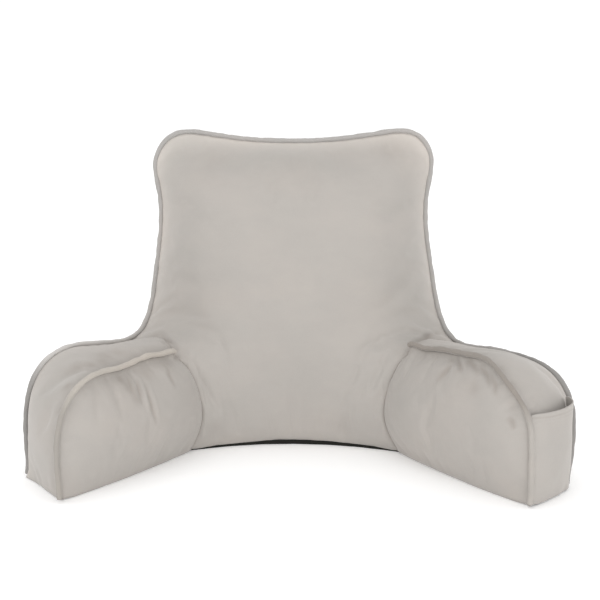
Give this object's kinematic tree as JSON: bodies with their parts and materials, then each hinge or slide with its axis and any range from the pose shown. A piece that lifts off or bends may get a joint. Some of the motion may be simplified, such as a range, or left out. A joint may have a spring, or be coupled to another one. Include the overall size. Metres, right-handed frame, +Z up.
{
  "type": "backrest pillow",
  "caption": "Bed rest pillow with a tall filled back, splayed arms, piped seams, a dark base sheet and a slip pocket in an arm's front.",
  "frame": {"origin": "middle of the footprint's bounding box, on the surface it rests on", "axes": "+X is the width, from the arm without a pocket to the arm with it; +Z is up; the front of the back and the open side between the arms face -Y"},
  "size_m": [0.8224, 0.5208, 0.516],
  "materials": {
    "velvet": "soft short pile",
    "cord_velvet": "soft short pile",
    "dark_cloth": "matt"
  },
  "bodies": {
    "root": {"body": "velvet", "outer_piping": "cord_velvet", "arm_piping_left": "cord_velvet", "arm_piping_right": "cord_velvet", "pocket": "velvet", "base_sheet": "dark_cloth"}
  },
  "joints": []
}
